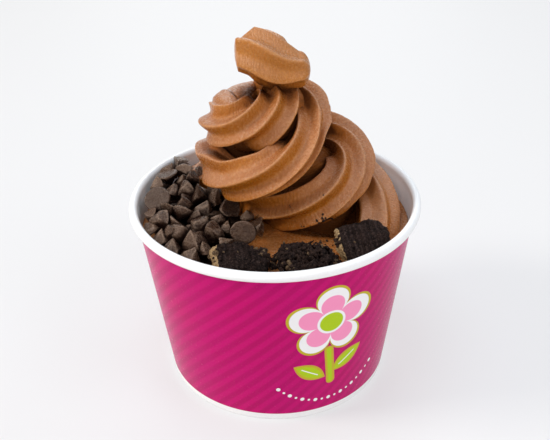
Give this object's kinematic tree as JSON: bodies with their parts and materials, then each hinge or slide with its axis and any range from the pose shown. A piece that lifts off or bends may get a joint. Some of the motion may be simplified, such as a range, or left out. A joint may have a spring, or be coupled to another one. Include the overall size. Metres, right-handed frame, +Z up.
{
  "type": "frozen yogurt cup",
  "caption": "Paper cup of chocolate frozen yogurt piped in a leaning ridged swirl, topped with a heap of chocolate chips and broken dark sandwich cookies.",
  "frame": {"origin": "centre of the ring that the cup stands on, in its plane", "axes": "+Z up along the cup's axis, -Y towards the front, where the cup's emblem and the cookie chunks are, +X to the right seen from the front"},
  "size_m": [0.1166, 0.1166, 0.1451],
  "materials": {
    "cup_paper": "coated board, satin, printed magenta outside with a white rim and foot",
    "yogurt": "dense frozen cream, satin with a faint wet sheen",
    "chocolate": "dull waxy dark chocolate",
    "cookie": "dry and crumbly"
  },
  "bodies": {
    "root": {"cup": "cup_paper", "yogurt": "yogurt", "chocolate_chips": "chocolate", "cookie_chunk_1": "cookie", "cookie_chunk_2": "cookie", "cookie_chunk_3": "cookie"}
  },
  "joints": []
}
